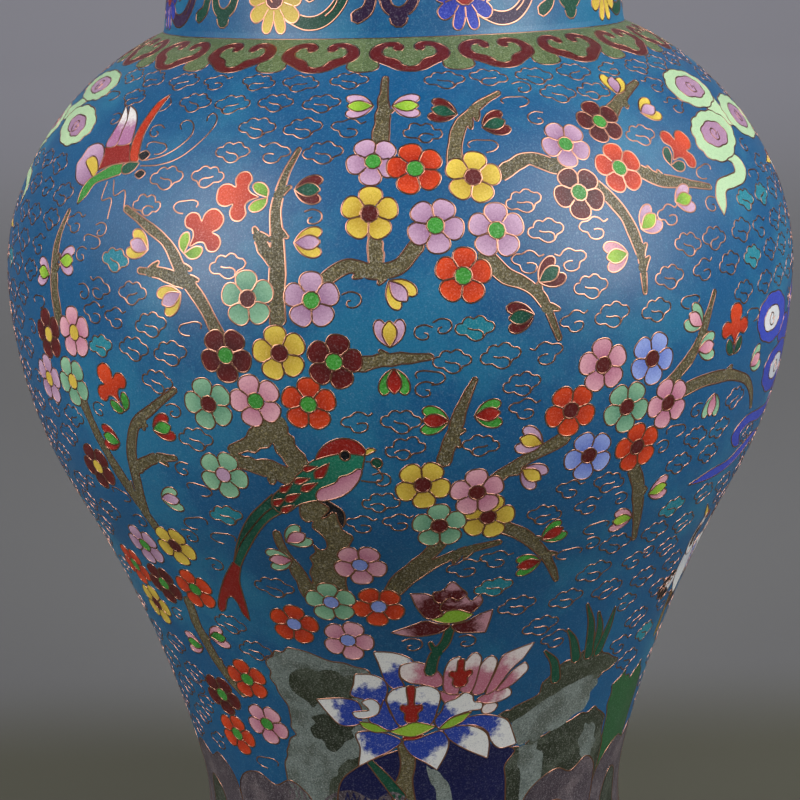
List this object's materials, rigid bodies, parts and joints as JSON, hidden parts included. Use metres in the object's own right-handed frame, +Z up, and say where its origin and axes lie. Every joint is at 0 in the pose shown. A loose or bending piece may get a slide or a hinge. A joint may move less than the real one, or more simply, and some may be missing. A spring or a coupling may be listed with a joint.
{
  "type": "cloisonne vase",
  "caption": "Footed baluster vase of brazed copper shells, enamelled inside and out between copper wire rings, with gilt brass rings at mouth and foot.",
  "frame": {"origin": "centre of the standing face, under the foot ring", "axes": "+Z up along the vase's axis; the decorated front faces -Y"},
  "size_m": [0.2, 0.2, 0.3039],
  "materials": {
    "gilt_brass": "polished gilding",
    "copper": "plain worked copper",
    "copper_wire": "polished copper wire",
    "sky_blue_enamel": "mottled, stoned and polished",
    "inner_blue_enamel": "plain, fired gloss"
  },
  "bodies": {
    "root": {"lip_ring": "gilt_brass", "foot_ring": "gilt_brass", "neck_shell": "copper", "shoulder_shell": "copper", "belly_shell": "copper", "foot_shell": "copper", "base_plate": "copper", "lip_wire": "copper_wire", "neck_wire": "copper_wire", "neck_joint_wire": "copper_wire", "foot_wire": "copper_wire", "base_wire": "copper_wire", "lip_enamel": "sky_blue_enamel", "upper_neck_enamel": "sky_blue_enamel", "neck_scroll_enamel": "sky_blue_enamel", "body_enamel": "sky_blue_enamel", "foot_enamel": "sky_blue_enamel", "base_border_enamel": "sky_blue_enamel", "neck_lining": "inner_blue_enamel", "shoulder_lining": "inner_blue_enamel", "belly_lining": "inner_blue_enamel", "floor_lining": "inner_blue_enamel", "base_enamel": "inner_blue_enamel", "foot_lining": "inner_blue_enamel"}
  },
  "joints": []
}
